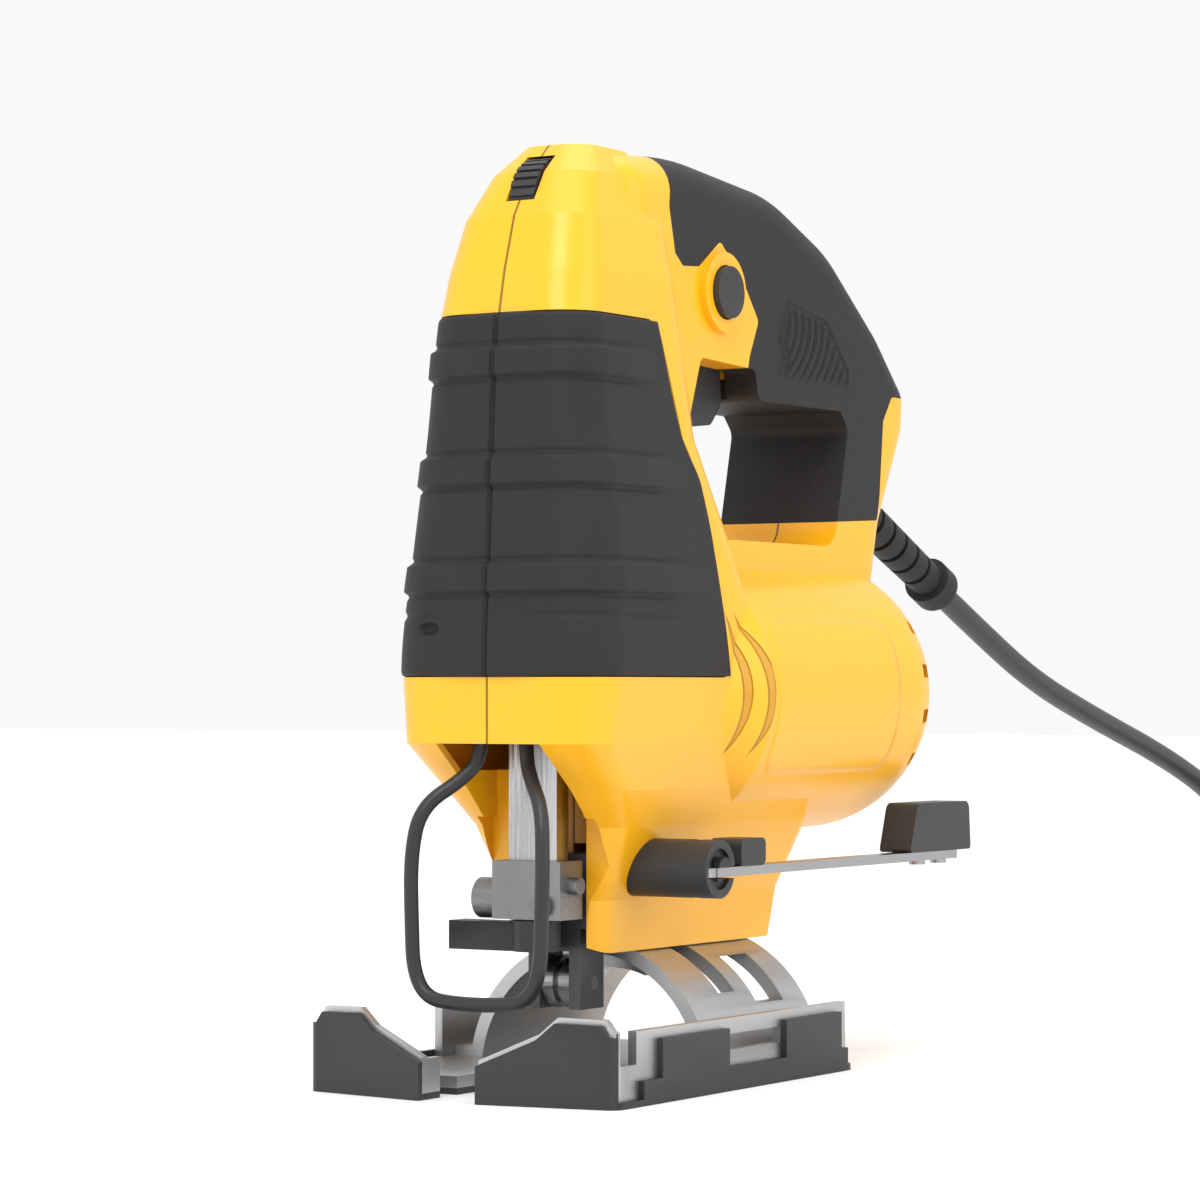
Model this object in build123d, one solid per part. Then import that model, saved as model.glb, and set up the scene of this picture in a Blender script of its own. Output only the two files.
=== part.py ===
"""Corded D-handle jigsaw, modelled as an assembly of separate pieces, in millimetres.

Frame: +Z up from the sole, -Y towards the blade's cutting side (the front), +X to the tool's left.
The origin is where the blade line meets the plane that the sole rests on.
"""
from build123d import *
import math
import os

os.makedirs("parts", exist_ok=True)

# ---- housing -------------------------------------------------------------------------------------
wall = 2.6                    # moulded housing wall
skin = 1.6                    # soft overmould
nose_front = 20.6             # how far the nose stands in front of the blade line
nose_top = 202.6
boot_bottom = 88.0            # front overmould, lower and upper edges
boot_top = 165.0
nose_half = 26.9              # half width of the gear housing at the boot's lower edge
neck_half = 19.4              # half width at the boot's upper edge
foot_bottom = 28.6
foot_half = 12.4              # the foot stays slim so that the tilted shoe clears it
foot_rear = 82.0
motor_axis = 84.5             # height of the armature axis
motor_radius = 32.0
motor_end = 141.0             # rear end of the motor housing
motor_round = 25.0            # rounding of that end
barrel_front, barrel_flare = 33.0, 13.0   # the barrel swells out behind the boots
grip_half = 15.8              # half width of the handle
grip_round = 9.0
handle_top = 203.4
handle_rear = 146.5
opening_floor = 119.0         # finger opening: floor, roof and ends
opening_roof = 151.0
opening_front = 48.5
opening_rear = 104.5

# ---- controls ------------------------------------------------------------------------------------
dial_y, dial_z = 3.2, 189.1
dial_radius, dial_width = 10.5, 6.2
lock_y, lock_z = 50.5, 174.0
lock_radius, lock_travel = 5.8, 3.0
boss_radius = 9.0
trigger_y, trigger_z = 42.0, 163.5        # trigger pivot
trigger_width = 14.0
slot_gap = 0.5                # clearance round a control in its opening

# ---- drive ---------------------------------------------------------------------------------------
gear_module = 0.8
pinion_teeth = 8
gear_teeth = 44
gear_width = 7.0
gear_front = 24.0             # front face of the drive gear
shaft_radius = 4.0
core_radius, core_length, core_front = 17.0, 38.0, 66.0
air_gap = 0.6
field_radius = 28.0
commutator_radius, commutator_length, commutator_front = 11.0, 13.0, 108.0
fan_radius, fan_front, fan_width = 25.0, 49.0, 9.0
bearing_outer, bearing_inner_race, bearing_outer_race, bearing_width = 11.0, 6.0, 9.0, 7.0
front_bearing_y, rear_bearing_y = 37.0, 125.0
stroke = 19.0
run_fit = 0.06                # radial clearance of a running fit

# ---- ram and blade clamp -------------------------------------------------------------------------
ram_half, ram_front, ram_back = 6.05, -2.7, 2.0
ram_bottom, ram_top = 44.0, 158.0
upper_bush_z, lower_bush_z, bush_height = 143.0, 76.0, 8.0
yoke_half, yoke_height = 18.6, 16.0
clamp_bottom, clamp_top = 36.3, 44.8
clamp_lever_reach = 20.4

# ---- shoe ----------------------------------------------------------------------------------------
shoe_half = 38.5
shoe_front, shoe_rear = -34.0, 73.5
front_sweep = 3.0                   # the front edge leads by this at the middle and trails at the corners
cover_wall = 1.4
plate_thick = 2.5
side_wall = 2.0
side_height = 15.4
blade_gap_half = 7.0
blade_gap_end = 19.0
saddle_radius, saddle_wall = 31.0, 3.0
saddle_front, saddle_rear = 20.0, 70.0
tilt = 45.0                   # bevel each way
bolt_radius, bolt_y = 3.0, 38.0
saddle_gap = 0.35             # foot to saddle

# ---- guard wire ----------------------------------------------------------------------------------
wire_radius = 1.55
wire_y, wire_half, wire_bottom, wire_top = -24.8, 16.2, 17.9, 74.5

# ---- bevel lever ---------------------------------------------------------------------------------
hub_y, hub_z, hub_radius, hub_end = 17.8, 47.0, 6.3, 34.5
pivot_x, pivot_radius = 29.2, 1.5
lever_thick, lever_half, lever_end = 2.0, 3.0, 137.0
grip_start = 108.0

# ---- lead ----------------------------------------------------------------------------------------
cord_radius = 3.0
relief_y, relief_z, relief_slope, relief_length = 136.0, 133.4, 22.7, 52.0
relief_radius, collar_radius, collar_length = 5.0, 6.0, 6.0
coil_x, coil_y, coil_mid, coil_rows = 40.0, 430.0, 33.0, 4


# ---- small helpers -------------------------------------------------------------------------------
def block(x, y, z):
    """Box between the limits x, y and z, each a (low, high) pair."""
    middle = Pos((x[0] + x[1]) / 2, (y[0] + y[1]) / 2, (z[0] + z[1]) / 2)
    return middle * Box(x[1] - x[0], y[1] - y[0], z[1] - z[0])


def rod_x(y, z, radius, low, high):
    """Cylinder along X."""
    return Pos((low + high) / 2, y, z) * Rot(0, 90, 0) * Cylinder(radius, high - low)


def rod_y(x, z, radius, low, high):
    """Cylinder along Y."""
    return Pos(x, (low + high) / 2, z) * Rot(90, 0, 0) * Cylinder(radius, high - low)


def rod_z(x, y, radius, low, high):
    """Cylinder along Z."""
    return Pos(x, y, (low + high) / 2) * Cylinder(radius, high - low)


def side_face(points, radius):
    """Closed outline of (y, z) points with rounded corners, on the middle plane."""
    return Plane.YZ * make_face(FilletPolyline(*points, radius=radius, close=True))


def side_plate(points, radius, low, high):
    """Side outline made solid from x = low to x = high."""
    return Pos(low, 0, 0) * extrude(side_face(points, radius), amount=high - low, dir=(1, 0, 0))


def round_sides(solid, half, radius):
    """Round the outline edges of a plate's two side faces."""
    edges = [e for e in solid.edges() if min(abs(abs(v.X) - half) for v in [e @ 0, e @ 0.5, e @ 1]) < 1e-4
             and max(abs(abs(v.X) - half) for v in [e @ 0, e @ 0.5, e @ 1]) < 1e-4]
    return fillet(edges, radius)


def ring_y(outer, inner, low, high, z=motor_axis):
    """Ring round an axis along Y."""
    return rod_y(0, z, outer, low, high) - rod_y(0, z, inner, low - 1, high + 1)


nodes = {}


def keep(name, *solids):
    """File the solids of one piece under its name."""
    found = []
    for solid in solids:
        found += list(solid.solids())
    nodes[name] = Compound(children=found) if len(found) > 1 else found[0]


# ---- housing: outer forms ------------------------------------------------------------------------
COLUMN = [                    # height, front, rear, half width, corner radius
    (foot_bottom, 4.5, foot_rear, foot_half, 5.0),
    (foot_bottom + 11.5, 4.0, foot_rear + 3.5, foot_half + 0.4, 5.5),
    (56.0, 0.0, foot_rear + 7.0, 19.5, 7.0),
    (64.0, -8.0, foot_rear + 5.0, 22.5, 8.0),
    (74.0, -nose_front, 72.0, 25.0, 10.0),
    (boot_bottom, -nose_front, 62.0, nose_half, 12.0),
    (opening_floor - 2, -nose_front + 1.6, opening_front, 24.5, 12.0),
    (140.0, -nose_front + 2.9, 37.0, 21.5, 11.0),
    (boot_top, -nose_front + 4.8, 33.0, neck_half, 10.0),
    (174.0, -nose_front + 6.8, 32.0, neck_half - 0.8, 10.0),
    (186.0, -nose_front + 10.6, 31.0, neck_half - 3.0, 9.0),
    (196.0, -nose_front + 17.0, 29.0, neck_half - 6.4, 8.0),
    (nose_top, -nose_front + 24.6, 26.0, neck_half - 10.8, 6.0),
]


def column(inset=0.0):
    """Nose, gear housing and foot: rounded rectangles lofted up the blade line."""
    sections = []
    for place, (height, front, rear, half, corner) in enumerate(COLUMN):
        level = height
        if place == 0:
            level += inset
        if place == len(COLUMN) - 1:
            level -= inset
        outline = RectangleRounded(2 * (half - inset), rear - front - 2 * inset, corner - 0.6 * inset)
        sections.append(Pos(0, (front + rear) / 2, level) * outline)
    return loft(sections, ruled=True)


def motor_housing(inset=0.0):
    """Barrel round the armature axis, flaring out of the nose, with a rounded rear end."""
    radius = motor_radius - inset
    end = motor_end - inset
    corner = motor_round - inset
    front = barrel_front + inset
    neck = radius - barrel_flare / 2
    bend = 0.7071067811865476 * corner
    side = [
        Line((front, 0), (front, neck)),
        Line((front, neck), (front + barrel_flare, radius)),
        Line((front + barrel_flare, radius), (end - corner, radius)),
        ThreePointArc((end - corner, radius), (end - corner + bend, radius - corner + bend),
                      (end, radius - corner)),
        Line((end, radius - corner), (end, 0)),
        Line((end, 0), (front, 0)),
    ]
    profile = Pos(0, 0, motor_axis) * (Plane.YZ * make_face(Wire(side)))
    return revolve(profile, Axis((0, 0, motor_axis), (0, 1, 0)), 360)


GRIP_OUTLINE = [
    (10.0, 110.0), (10.0, handle_top - 2.4), (38.0, handle_top), (80.0, handle_top - 3.7),
    (106.0, handle_top - 13.4), (131.0, handle_top - 31.0), (handle_rear, 158.0),
    (handle_rear - 1.2, 147.0), (133.0, 124.0), (127.0, 100.0), (50.0, 100.0),
]
GRIP_RADII = [2.0, 6.0, 90.0, 50.0, 40.0, 25.0, 8.0, 6.0, 12.0, 4.0, 4.0]
OPENING_OUTLINE = [
    (opening_front, opening_floor), (opening_rear, opening_floor), (opening_rear + 7.0, opening_roof - 4.0),
    (opening_rear + 3.0, opening_roof), (68.0, opening_roof), (66.5, 158.0), (42.0, 159.0),
    (opening_front - 12.5, opening_roof - 8.0),
]
OPENING_RADII = [5.0, 6.0, 3.0, 1.5, 3.0, 1.5, 2.0, 5.0]


def handle(inset=0.0):
    """D handle: the side outline less the finger opening, rounded along its sides."""
    half = grip_half - inset
    outer = side_face(GRIP_OUTLINE, GRIP_RADII)
    hole = side_face(OPENING_OUTLINE, OPENING_RADII)
    if inset:
        outer = offset(outer, amount=-inset)
        hole = offset(hole, amount=inset)
    body = Pos(-half, 0, 0) * extrude(outer, amount=2 * half, dir=(1, 0, 0))
    body = round_sides(body, half, grip_round - inset)
    return body - Pos(-2 * half, 0, 0) * extrude(hole, amount=4 * half, dir=(1, 0, 0))


GRIP_ZONE = [
    (30.0, 212.0), (28.0, 191.0), (30.6, 181.0), (34.0, 178.5), (41.0, 179.0), (50.5, 185.5), (61.0, 177.5),
    (68.0, 169.0), (64.0, 161.0), (61.5, 152.0), (60.0, 140.0), (95.0, 130.0), (98.0, 124.5),
    (127.0, 126.0), (129.5, 150.0), (134.0, 156.0), (158.0, 156.0), (158.0, 212.0),
]
BOOT_ZONE = [
    (-40.0, boot_bottom), (36.0, boot_bottom), (30.0, 130.0), (24.0, 140.0), (17.0, boot_top),
    (-40.0, boot_top),
]

outer_column = column()
outer_handle = handle()
outer_motor = motor_housing()
wide = 60.0
zone = side_plate(GRIP_ZONE, [1.5] * len(GRIP_ZONE), -wide, wide)
grip_skin = (outer_handle & zone) - handle(skin) - outer_column
boot_zone = side_plate(BOOT_ZONE, [1.0, 3.0, 4.0, 4.0, 6.0, 1.0], -wide, wide)
boot_skin = (outer_column & boot_zone) - column(skin)

# ---- housing: hollow and webs --------------------------------------------------------------------
hollow = column(wall) & block((-wide, wide), (-wide, 2 * wide), (68.0, nose_top))
hollow -= block((-wide, wide), (-12.0, 12.0), (upper_bush_z, upper_bush_z + bush_height))
hollow -= block((-wide, wide), (-14.0, 12.0), (lower_bush_z, lower_bush_z + bush_height))
hollow_handle = handle(wall + 0.4)
barrel_hollow = motor_housing(wall)
for web in [(70.0, 73.0), (98.0, 101.0)]:
    barrel_hollow -= ring_y(wide, field_radius, web[0], web[1])
barrel_hollow -= ring_y(wide, bearing_outer, rear_bearing_y, rear_bearing_y + bearing_width)

shell = (outer_column + outer_handle + outer_motor) - hollow - hollow_handle - barrel_hollow
shell = shell - grip_skin - boot_skin

# ram recess between the cheeks, and the ram's way up into the nose
cheek_gap = 9.0
shell -= block((-wide, wide), (-wide, 4.6), (foot_bottom - 5, 46.0))
shell -= block((-13.0, 13.0), (-wide, 3.4), (foot_bottom - 5, 74.0))
shell -= block((-14.8, 14.8), (-wide, 4.6), (foot_bottom - 5, 58.0))
shell -= block((-cheek_gap, cheek_gap), (-wide, 14.0), (foot_bottom - 5, 70.0))
shell -= block((-ram_half - 1.2, ram_half + 1.2), (ram_front - 1.2, ram_back + 1.2), (60.0, lower_bush_z + 1))
# round underside that turns on the saddle, and the pocket over the clamp bolt
shell -= rod_y(0, 0, saddle_radius + saddle_gap, 0, 2 * wide)
shell -= block((-8.0, 8.0), (24.0, 76.0), (0, 60.0))

# openings for the controls
shell -= rod_x(dial_y, dial_z, dial_radius + slot_gap, -dial_width / 2 - slot_gap, dial_width / 2 + slot_gap)
shell += (rod_x(lock_y, lock_z, boss_radius, 10.0, grip_half + 1.6)
          - rod_x(lock_y, lock_z, boss_radius - 1.8, 0, grip_half - 2))
shell -= rod_x(lock_y, lock_z, lock_radius + 0.3, 8.0, wide)
grip_skin -= rod_x(lock_y, lock_z, boss_radius + 0.1, 0, wide)
shell -= block((-trigger_width / 2 - slot_gap, trigger_width / 2 + slot_gap), (38.5, 68.5), (140.0, 172.0))
grip_skin -= block((-trigger_width / 2 - slot_gap, trigger_width / 2 + slot_gap), (38.5, 68.5), (140.0, 172.0))
lever_hub_hole = rod_x(hub_y, hub_z, hub_radius, 0, wide)
shell -= lever_hub_hole

# cooling slots on the rear shoulder, four a side
vent_front, vent_length, vent_height = 120.5, 7.0, 3.3
for angle in [-30, -10, 10, 30]:
    for side in (-1, 1):
        slot = block((10.0, wide), (vent_front, vent_front + vent_length), (-vent_height / 2, vent_height / 2))
        turned = Pos(0, 0, motor_axis) * Rot(0, angle if side > 0 else 180 - angle, 0) * slot
        shell -= turned

# the lead's way in
relief_dir = Vector(0, math.cos(math.radians(relief_slope)), -math.sin(math.radians(relief_slope)))
relief_plane = Plane(origin=(0, relief_y, relief_z), x_dir=(1, 0, 0), z_dir=relief_dir)
relief_hole = relief_plane * Pos(0, 0, 0) * Cylinder(relief_radius, 24.0)
shell -= relief_hole
grip_skin -= relief_hole

left_side = block((0, wide + 20), (-wide, 4 * wide), (-5, 4 * wide))
right_side = block((-wide - 20, 0), (-wide, 4 * wide), (-5, 4 * wide))


def main_solids(shape, least=60.0):
    """The shape's solids without the crumbs that a cut leaves."""
    return [s for s in shape.solids() if s.volume > least]


# gear plate: a slice of the column's own hollow, so that it seats on the walls
plate_front, plate_rear = 32.4, 37.0
plate_low, plate_high = 70.0, 127.0
gear_axis = motor_axis + gear_module * (pinion_teeth + gear_teeth) / 2
gear_plate = column(wall) & block((-wide, wide), (plate_front, plate_rear), (plate_low, plate_high))
gear_plate -= rod_y(0, motor_axis, shaft_radius + 1.0, 0, wide)
gear_plate += ring_y(bearing_outer + 2.0, bearing_outer, plate_rear, plate_rear + bearing_width)
gear_plate -= rod_y(0, gear_axis, 3.0, 0, wide)

# plunger bushes in their webs
for name, low in (("upper_plunger_bush", upper_bush_z), ("lower_plunger_bush", lower_bush_z)):
    outer = block((-10.0, 10.0), (-7.5, 7.5), (low, low + bush_height))
    shell -= outer
    bar_hole = block((-ram_half - run_fit, ram_half + run_fit), (ram_front - run_fit, ram_back + run_fit),
                     (low - 1, low + bush_height + 1))
    keep(name, outer - bar_hole)

screw_places = [(-8.0, 106.0), (24.0, 61.0), (74.0, 46.0), (30.0, 186.0), (88.0, 171.0), (134.0, 150.0),
                (112.0, 57.5)]
boss_round, screw_round = 3.6, 1.6
screws = []
outer_form = (outer_column + outer_handle + outer_motor) - grip_skin - boot_skin
for y, z in screw_places:
    shell += rod_x(y, z, boss_round, -wide, wide) & outer_form
    shell -= rod_x(y, z, screw_round, -12.5, 9.0)
    shell -= rod_x(y, z, boss_round - 0.4, -wide, -12.0)
    grip_skin -= rod_x(y, z, boss_round - 0.4, -wide, -8.0)
    boot_skin -= rod_x(y, z, boss_round - 0.4, -wide, -8.0)
    screw = rod_x(y, z, screw_round, -12.0, 8.0) + rod_x(y, z, boss_round - 0.6, -14.2, -12.0)
    screw -= rod_x(y, z, 1.1, -15.0, -13.0)
    screws.append(screw)
keep("housing_screws", *screws)

# ---- armature ------------------------------------------------------------------------------------
core_rear = core_front + core_length
shaft = rod_y(0, motor_axis, shaft_radius, front_bearing_y, rear_bearing_y + bearing_width)
shaft += rod_y(0, motor_axis, 2.3, gear_front - 1.0, front_bearing_y)


def gear(teeth, width, front, tip_extra=0.5, root_cut=0.75, turn=0.0):
    """Spur gear along Y at the origin: slim straight-sided teeth with plenty of backlash."""
    pitch = gear_module * teeth / 2
    tip, root = pitch + tip_extra, pitch - root_cut
    points = []
    for tooth in range(teeth):
        middle = turn + 2 * math.pi * tooth / teeth
        for radius, half in ((root, -0.56), (tip, -0.36), (tip, 0.36), (root, 0.56)):
            angle = middle + half / radius
            points.append((radius * math.sin(angle), radius * math.cos(angle)))
    face = make_face(Polyline(*points, close=True))
    return Pos(0, front, 0) * extrude(Plane.XZ * face, amount=width, dir=(0, 1, 0))


pinion = Pos(0, 0, motor_axis) * gear(pinion_teeth, gear_width + 1.0, gear_front - 0.5)
keep("armature_shaft", shaft + pinion)
core = ring_y(core_radius, shaft_radius, core_front, core_rear)
for slot in range(12):
    notch = block((-0.9, 0.9), (core_front - 1, core_rear + 1), (core_radius - 3.2, core_radius + 1))
    core -= Pos(0, 0, motor_axis) * Rot(0, 30 * slot, 0) * notch
keep("armature_core", core)
keep("armature_windings",
     ring_y(core_radius - 1.2, shaft_radius, core_front - 6.0, core_front),
     ring_y(core_radius - 1.2, shaft_radius, core_rear, commutator_front))
commutator = ring_y(commutator_radius, shaft_radius, commutator_front, commutator_front + commutator_length)
for bar in range(24):
    groove = block((-0.25, 0.25), (commutator_front + 2, commutator_front + commutator_length + 1),
                   (commutator_radius - 1.0, commutator_radius + 1))
    commutator -= Pos(0, 0, motor_axis) * Rot(0, 15 * bar, 0) * groove
keep("commutator", commutator)
fan = ring_y(8.0, shaft_radius, fan_front, fan_front + fan_width)
fan += ring_y(fan_radius, shaft_radius, fan_front, fan_front + 1.6)
for blade in range(12):
    vane = block((-0.7, 0.7), (fan_front, fan_front + fan_width), (6.0, fan_radius - 0.5))
    fan += Pos(0, 0, motor_axis) * Rot(0, 30 * blade, 0) * vane
keep("cooling_fan", fan)

inner_races, outer_races, balls = [], [], []
ball_radius = (bearing_outer_race - bearing_inner_race) / 2 - run_fit
for front in (front_bearing_y, rear_bearing_y):
    rear = front + bearing_width
    inner_races.append(ring_y(bearing_inner_race, shaft_radius, front, rear))
    outer_races.append(ring_y(bearing_outer, bearing_outer_race, front, rear))
    for ball in range(8):
        place = Pos(0, (front + rear) / 2, motor_axis) * Rot(0, 45 * ball, 0)
        balls.append(place * Pos(0, 0, (bearing_inner_race + bearing_outer_race) / 2) * Sphere(ball_radius))
keep("bearing_inner_races", *inner_races)
keep("bearing_outer_races", *outer_races, *balls)

field = ring_y(field_radius, core_radius + air_gap, core_front, core_rear)
for side in (-1, 1):
    field -= block(sorted((side * 19.5, side * 24.5)), (core_front - 1, core_rear + 1),
                   (motor_axis - 9, motor_axis + 9))
keep("field_core", field)
coils = []
for side in (-1, 1):
    turn = block(sorted((side * 20.0, side * 24.0)), (core_front - 5, core_rear + 5),
                 (motor_axis - 8.5, motor_axis + 8.5))
    coils.append(turn)
keep("field_coils", *coils)

brushes, holders = [], []
brush_y = (commutator_front + 3.0, commutator_front + 9.0)
for side in (-1, 1):
    inner, outer = commutator_radius + 0.3, commutator_radius + 11.0
    brushes.append(block(sorted((side * inner, side * (outer - 1))), brush_y, (motor_axis - 3, motor_axis + 3)))
    case = block(sorted((side * (inner + 2), side * (motor_radius - wall - 1.4))),
                 (brush_y[0] - 1, brush_y[1] + 1), (motor_axis - 4, motor_axis + 4))
    case -= block(sorted((side * (inner + 1), side * (outer - 1))), brush_y, (motor_axis - 3, motor_axis + 3))
    holders.append(case)
keep("carbon_brushes", *brushes)
keep("brush_holders", *holders)

# ---- drive gear, crank and ram -------------------------------------------------------------------
gear_pin = rod_y(0, gear_axis, 3.0, gear_front - 1.0, plate_rear)
keep("gear_pin", gear_pin)
mesh_turn = math.pi / gear_teeth if gear_teeth % 2 == 0 else 0.0
drive = Pos(0, 0, gear_axis) * gear(gear_teeth, gear_width, gear_front, turn=mesh_turn)
drive -= rod_y(0, gear_axis, 3.0 + run_fit, 0, wide)
keep("drive_gear", drive)
crank_radius = stroke / 2
crank_front = 15.6            # the crank stops short of the yoke: this pivot is left open
crank = rod_y(crank_radius, gear_axis, 2.5, crank_front, gear_front)
roller_ring = rod_y(crank_radius, gear_axis, 4.6, crank_front + 0.6, crank_front + 6.0)
keep("crank_pin", crank, roller_ring - rod_y(crank_radius, gear_axis, 2.5, crank_front, gear_front))

plunger = block((-ram_half, ram_half), (ram_front, ram_back), (ram_bottom, ram_top))
keep("plunger_bar", plunger)
yoke = block((-yoke_half, yoke_half), (ram_back, 14.6), (gear_axis - yoke_height / 2, gear_axis + yoke_height / 2))
yoke -= block((-crank_radius - 5.2, crank_radius + 5.2), (ram_back + 2.6, 20.0), (gear_axis - 4.9, gear_axis + 4.9))
keep("scotch_yoke", yoke)

# blade clamp: a sleeve across the bar's foot, a stepped body, a nub, a screw and the release lever
clamp_body = block((-8.6, 8.6), (-5.4, 3.6), (clamp_bottom, clamp_top + 4.0))
clamp_body -= plunger
clamp_body -= block((-0.9, 0.9), (-3.6, 3.0), (clamp_bottom - 1, clamp_top - 0.5))
keep("blade_clamp_body", clamp_body)
clamp_mid = (clamp_bottom + clamp_top) / 2
sleeve = rod_x(-1.0, clamp_mid, 4.4, -14.0, -8.6)
keep("clamp_sleeve", sleeve, rod_x(-1.0, clamp_mid + 3.0, 1.9, 8.6, 11.0))
screw_head = rod_y(4.0, clamp_mid - 1.2, 2.6, -6.6, -5.4)
screw_head -= block((3.6, 4.4), (-7.0, -6.0), (clamp_mid - 5, clamp_mid + 3))
keep("clamp_screw", screw_head)
lever_low, lever_high = 29.4, clamp_bottom - 0.3
pivot_y = -1.0
clamp_lever = rod_z(0, pivot_y, 5.2, lever_low, lever_high)
clamp_lever += block((-clamp_lever_reach, 0), (pivot_y - 3.4, pivot_y + 3.0), (lever_low, lever_high - 0.4))
clamp_lever -= rod_z(0, pivot_y, 2.4, lever_low - 1, lever_high + 1)
keep("clamp_release_lever", clamp_lever)
collet = rod_z(0, pivot_y, 2.3, lever_low + 0.6, clamp_bottom) - block((-0.9, 0.9), (-3.6, 3.0),
                                                                      (lever_low - 1, clamp_bottom + 1))
keep("blade_collet", *main_solids(collet, 2.0))

# ---- roller guide --------------------------------------------------------------------------------
fork_y, roller_z, roller_round, roller_half = 12.0, 22.0, 5.6, 3.4
arm_gap = 0.35
fork = block((-6.6, 6.6), (6.0, 15.6), (16.5, 40.0))
fork -= block((-roller_half - arm_gap, roller_half + arm_gap), (0, 20.0), (10.0, 29.0))
fork -= rod_x(fork_y, roller_z, 1.5, -wide, wide)
fork += block((-8.6, 8.6), (6.0, 14.0), (34.0, 50.0))
keep("roller_fork", fork)
shell -= block((-8.6, 8.6), (6.0, 14.0), (34.0, 50.0))
shell -= block((-6.6, 6.6), (6.0, 15.6), (foot_bottom - 2, 40.0))
keep("roller_axle", rod_x(fork_y, roller_z, 1.5, -6.6, 6.6))
guide_roller = rod_x(fork_y, roller_z, roller_round, -roller_half, roller_half)
guide_roller -= rod_x(fork_y, roller_z, 1.5 + run_fit, -wide, wide)
groove_ring = rod_x(fork_y, roller_z, roller_round + 1, -0.7, 0.7) - rod_x(fork_y, roller_z, roller_round - 1.4, -1, 1)
keep("guide_roller", guide_roller - groove_ring)

# ---- guard wire ----------------------------------------------------------------------------------
bend = 8.0
foot_x, foot_back = 5.6, -14.0
wire_path = FilletPolyline(
    (-foot_x, foot_back, wire_top + 3.0), (-foot_x, foot_back, wire_top - 6.0),
    (-wire_half, wire_y, wire_top - 18.0),
    (-wire_half, wire_y, wire_bottom + wire_radius), (wire_half, wire_y, wire_bottom + wire_radius),
    (wire_half, wire_y, wire_top - 18.0),
    (foot_x, foot_back, wire_top - 6.0), (foot_x, foot_back, wire_top + 3.0),
    radius=[4.0, 6.0, bend, bend, 6.0, 4.0])
guard = sweep(Plane(origin=wire_path @ 0, z_dir=wire_path % 0) * Circle(wire_radius), path=wire_path)
keep("guard_wire", guard)
for side in (-1, 1):
    shell -= rod_z(side * foot_x, foot_back, wire_radius, 60.0, wire_top + 3.0)

# ---- bevel clamp ---------------------------------------------------------------------------------
hub = rod_x(hub_y, hub_z, hub_radius, 10.0, hub_end)
nub = rod_x(hub_y, hub_z, 2.6, hub_end, hub_end + 1.2)
slot_height = lever_thick + 0.6
lever_z = hub_z - 0.8
hub -= block((20.0, 50.0), (hub_y - 5.0, 60.0), (lever_z - slot_height / 2, lever_z + slot_height / 2))
hub -= rod_z(pivot_x, hub_y, pivot_radius, 0, 100)
hub -= rod_x(hub_y, hub_z, 4.4, hub_end - 0.8, hub_end + 2) - rod_x(hub_y, hub_z, 2.6, 0, hub_end + 3)
keep("bevel_hub", *main_solids(hub + (nub - block((20.0, 50.0), (0, 60.0), (0, lever_z + slot_height / 2)))))
keep("lever_pivot_pin", rod_z(pivot_x, hub_y, pivot_radius, hub_z - 5.2, hub_z + 5.2))

strip = block((pivot_x - 0.5, pivot_x + 4.6), (hub_y, lever_end - 4.0),
              (lever_z - lever_thick / 2, lever_z + lever_thick / 2))
strip += rod_z(pivot_x, hub_y, 4.4, lever_z - lever_thick / 2, lever_z + lever_thick / 2)
strip -= rod_z(pivot_x, hub_y, pivot_radius + run_fit, 0, 100)
keep("bevel_lever_strip", strip)
head = block((pivot_x - 2.4, hub_end), (hub_y + 9.2, hub_y + 20.0), (lever_z + lever_thick / 2, hub_z + 6.2))
keep("bevel_lever_head", fillet(head.edges().filter_by(Axis.X), 1.5))
grip_low = lever_z + lever_thick / 2
paddle = side_plate([(grip_start, grip_low), (grip_start + 4.0, grip_low + 11.5), (lever_end + 2.0, grip_low + 11.5),
                     (lever_end + 3.0, grip_low)], [1.0, 2.5, 2.0, 1.0], pivot_x - 3.4, pivot_x + 4.8)
keep("bevel_lever_grip", paddle)
rivets = []
for y in (grip_start + 9.0, grip_start + 20.0):
    rivets.append(rod_z(pivot_x + 2.0, y, 1.9, grip_low - lever_thick - 1.0, grip_low - lever_thick))
keep("lever_rivets", *rivets)

keep("bevel_clamp_bolt", rod_z(0, bolt_y, bolt_radius, 25.0, 56.0) + rod_z(0, bolt_y, 5.4, 56.0, 60.0))
clamp_inner = saddle_radius - saddle_wall - 0.35
shoe_clamp = rod_y(0, 0, clamp_inner, bolt_y - 8, bolt_y + 8) - rod_y(0, 0, clamp_inner - 3.6, 0, wide)
shoe_clamp &= block((-8.5, 8.5), (bolt_y - 8, bolt_y + 8), (10.0, 60.0))
shoe_clamp -= rod_z(0, bolt_y, bolt_radius, 0, 100)
keep("bevel_clamp_shoe", shoe_clamp)
shell -= rod_z(0, bolt_y, 5.4, 56.0, 62.0)

# ---- shoe ----------------------------------------------------------------------------------------
metal_half = shoe_half - cover_wall
plate_low_z, plate_top_z = cover_wall, cover_wall + plate_thick
front_mid, front_corner = shoe_front - front_sweep, shoe_front + front_sweep
right_relief = (-22.0, 15.0)  # no side wall here, so that the clamp lever passes when the shoe is tilted
wire_notch = (-27.8, -21.4)


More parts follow.
